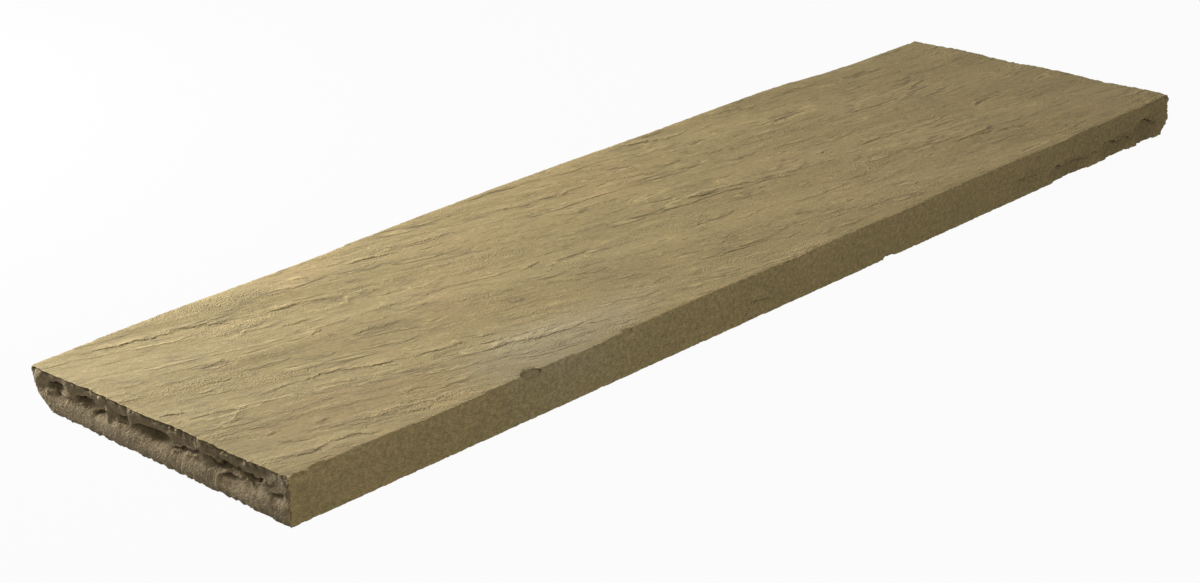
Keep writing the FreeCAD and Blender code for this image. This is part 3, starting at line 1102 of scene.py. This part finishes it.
@dataclass
class CopingStone:
    """The stone: a copy of its solid with a fine skin, ledges and relief, in millimetres and degrees."""

    weld: float = 0.01
    skin: float = 1.0
    triangles: int = 195000
    sharp_turn: float = 28.0

    # Distance at which the finish loses sight of a ledge, and how many reaches out a ledge is drawn
    sight: float = 15.0
    margin: float = 5.0

    # How far the normal leans where a point counts as on a face or at an end
    face_lean: float = 0.5
    end_lean: float = 0.4
    relief: RivenRelief = field(default_factory=RivenRelief)
    finish: RivenSandstone = field(default_factory=RivenSandstone)

    def plain(self, piece: Object) -> None:
        """Makes the piece's modifiers part of its mesh.

        Args:
            piece: The stone at any stage.
        """
        shown = piece.evaluated_get(bpy.context.evaluated_depsgraph_get())
        mesh = bpy.data.meshes.new_from_object(shown)
        piece.modifiers.clear()
        old = piece.data
        piece.data = mesh
        bpy.data.meshes.remove(old)

    def blank(self) -> Object:
        """Copies the solid and gives it an even skin of small faces.

        Returns:
            The blank.
        """
        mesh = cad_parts["coping_stone"].data.copy()
        mesh.name = "riven_coping"
        piece = bpy.data.objects.new("riven_coping", mesh)
        bpy.context.collection.objects.link(piece)
        weld = piece.modifiers.new("weld", "WELD")
        weld.merge_threshold = self.weld * MM
        skin = piece.modifiers.new("skin", "REMESH")
        skin.mode = "VOXEL"
        skin.voxel_size = self.skin * MM
        self.plain(piece)
        return piece

    def lay_ledges(self, piece: Object) -> None:
        """Writes the ledges' height, the distance from the nearest and its drop to the blank's points.

        Args:
            piece: The blank.
        """
        mesh = piece.data
        places = np.empty(len(mesh.vertices) * 3)
        mesh.vertices.foreach_get("co", places)
        places = (places.reshape(-1, 3) - np.array(CAD_BOX[0])) / MM
        normals = np.empty(len(mesh.vertices) * 3)
        mesh.vertex_normals.foreach_get("vector", normals)
        normals = normals.reshape(-1, 3)
        height = np.zeros(len(places))
        edge = np.full(len(places), self.sight)
        step = np.zeros(len(places))
        for face, breaks in BREAKS.items():
            first, second, outward, sign = face.value
            on_face = np.flatnonzero(normals[:, outward] * sign > self.face_lean)
            flat = places[on_face][:, (first, second)]
            ragged = breaks.ragged(flat)
            broken = breaks.broken(flat)
            for ledge in breaks.ledges:
                line = np.array(ledge.points)
                margin = self.margin * ledge.reach
                low, high = line.min(axis=0) - margin, line.max(axis=0) + margin
                near = np.all((ragged > low) & (ragged < high), axis=1)
                gap, fade = ledge.measure(ragged[near])
                fade *= broken[near]
                beside = on_face[near]
                height[beside] += breaks.mesh_share * ledge.height(gap, fade)
                closer = np.abs(gap) < np.abs(edge[beside])
                edge[beside[closer]] = gap[closer]
                step[beside[closer]] = breaks.lip_share * ledge.drop * fade[closer]
        for name, values in {"ledge": height, "edge": edge, "edge_step": step}.items():
            attribute = mesh.attributes.new(name, "FLOAT", "POINT")
            attribute.data.foreach_set("value", values.astype(np.float32))

    def rive(self, piece: Object, material: Material) -> None:
        """Gives the blank its relief and its material.

        Args:
            piece: The blank with its ledges.
            material: The stone's material.
        """
        tree = self.relief.tree()
        riven = piece.modifiers.new("riven", "NODES")
        riven.node_group = tree
        for socket in tree.interface.items_tree:
            if socket.name == "Material":
                riven[socket.identifier] = material
        self.plain(piece)

    def thin(self, piece: Object) -> None:
        """Joins faces where the stone is plain, to keep the mesh light, and none at its ends.

        Args:
            piece: The riven stone.
        """
        mesh = piece.data
        triangles = sum(len(face.vertices) - 2 for face in mesh.polygons)
        at_end = np.empty(len(mesh.vertices))
        mesh.attributes["at_end"].data.foreach_get("value", at_end)
        group = piece.vertex_groups.new(name="joined")
        group.add(np.flatnonzero(at_end < self.end_lean).tolist(), 1.0, "REPLACE")
        lighter = piece.modifiers.new("lighter", "DECIMATE")
        lighter.vertex_group = group.name
        lighter.ratio = min(1.0, self.triangles / triangles)
        self.plain(piece)

    def build(self) -> Object:
        """Builds the stone and hides the solid that it replaces.

        Returns:
            The finished piece.
        """
        material = self.finish.material()
        piece = self.blank()
        LOG.info("blank: %d points", len(piece.data.vertices))
        self.lay_ledges(piece)
        self.rive(piece, material)
        self.thin(piece)
        piece.data.shade_smooth()
        piece.data.set_sharp_from_angle(angle=math.radians(self.sharp_turn))
        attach(piece, "root")
        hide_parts("coping_stone")
        return piece


@dataclass(frozen=True)
class Lamp:
    """A soft round lamp that looks at the stone, in metres and watts."""

    name: str
    place: tuple[float, float, float]
    size: float
    power: float

    def build(self) -> None:
        """Hangs the lamp, unseen by the camera and turned to the stone."""
        data = bpy.data.lights.new(self.name, "AREA")
        data.shape = "DISK"
        data.size = self.size
        data.energy = self.power
        lamp = bpy.data.objects.new(self.name, data)
        lamp.location = self.place
        lamp.visible_camera = False
        lamp.rotation_euler = (-lamp.location).to_track_quat("-Z", "Y").to_euler()
        bpy.context.collection.objects.link(lamp)


@dataclass
class Studio:
    """Pale floor, a low lamp behind the stone, soft ones before it and at its far end, and an even sky."""

    floor_size: float = 12.0
    floor_colour: str = "#8c8c8c"
    floor_white: float = 0.96
    sky: float = 0.12
    lamps: tuple[Lamp, ...] = (
        Lamp("key", (-0.53, 1.08, 0.39), 0.34, 37.0),
        Lamp("fill", (-0.5, -1.45, 0.7), 0.8, 10.5),
        Lamp("far_fill", (1.7, 0.0, 0.15), 0.25, 3.0),
    )

    def seen(self, tree: NodeTree) -> Node:
        """Picks the rays that show the studio itself: straight, mirrored or through glass.

        Args:
            tree: The floor's or the sky's tree.

        Returns:
            1 for such a ray, 0 for one that only carries light.
        """
        path = add_node(tree, "ShaderNodeLightPath").outputs
        either = add_node(tree, MATH, [path["Is Camera Ray"], path["Is Glossy Ray"]], operation="ADD")
        return add_node(tree, MATH, [either, path["Is Transmission Ray"]], operation="ADD",
                        use_clamp=True)

    def floor(self) -> None:
        """Lays the pale floor, white to the camera apart from the stone's shadow."""
        half = self.floor_size / 2
        corners = [(-half, -half, 0), (half, -half, 0), (half, half, 0), (-half, half, 0)]
        mesh = bpy.data.meshes.new("floor")
        mesh.from_pydata(corners, [], [(0, 1, 2, 3)])
        material = bpy.data.materials.new("pale_floor")
        material.use_nodes = True
        tree = material.node_tree
        tree.nodes.clear()
        paint = add_node(tree, "ShaderNodeBsdfDiffuse", {"Color": linear(self.floor_colour)})
        glow = add_node(tree, "ShaderNodeEmission", {"Color": linear(WHITE), "Strength": 1.0})
        seen = add_node(tree, MATH, [self.seen(tree), self.floor_white], operation="MULTIPLY")
        mix = add_node(tree, "ShaderNodeMixShader", [seen, paint, glow])
        add_node(tree, "ShaderNodeOutputMaterial", {"Surface": mix})
        mesh.materials.append(material)
        floor = bpy.data.objects.new("floor", mesh)
        bpy.context.collection.objects.link(floor)

    def light(self) -> None:
        """Hangs the lamps and sets the sky, white to the camera."""
        for lamp in self.lamps:
            lamp.build()
        world = bpy.data.worlds.new("studio")
        world.use_nodes = True
        tree = world.node_tree
        tree.nodes.clear()
        level = add_node(tree, RANGE, {"Value": self.seen(tree), TO: (self.sky, 1.0)})
        sky = add_node(tree, "ShaderNodeBackground", {"Color": linear(WHITE), "Strength": level})
        add_node(tree, "ShaderNodeOutputWorld", {"Surface": sky})
        bpy.context.scene.world = world


@dataclass(frozen=True)
class PhotoCamera:
    """The camera as the photograph was taken: degrees, millimetres and pixels."""

    azimuth: float = -45.62
    elevation: float = 22.40
    roll: float = -1.36
    place: tuple[float, float, float] = (-1381.3, -1277.2, 742.4)
    focal: float = 2568.0
    frame_width: float = 1200.0
    sensor: float = 36.0

    def build(self) -> None:
        """Makes this the scene's camera."""
        turn, lift, roll = (math.radians(angle) for angle in (self.azimuth, self.elevation, self.roll))
        back = Vector((math.sin(turn) * math.cos(lift), -math.cos(turn) * math.cos(lift), math.sin(lift)))
        right = Vector((math.cos(turn), math.sin(turn), 0.0))
        up = back.cross(right)
        axes = Matrix((right, up, back)).transposed() @ Matrix.Rotation(roll, 3, "Z")
        data = bpy.data.cameras.new("photo")
        data.sensor_fit = "HORIZONTAL"
        data.sensor_width = self.sensor
        data.lens = self.focal / self.frame_width * self.sensor
        camera = bpy.data.objects.new("photo", data)
        camera.location = Vector(self.place) * MM
        camera.rotation_euler = axes.to_euler()
        bpy.context.collection.objects.link(camera)
        bpy.context.scene.camera = camera


def main() -> None:
    """Builds the stone, the studio and the camera."""
    logging.basicConfig(level=logging.INFO, format="%(message)s")
    bpy.context.scene.view_settings.view_transform = "Standard"
    PhotoCamera().build()
    studio = Studio()
    studio.floor()
    studio.light()
    stone = CopingStone().build()
    LOG.info("%s: %d faces", stone.name, len(stone.data.polygons))


if __name__ == "__main__":
    main()
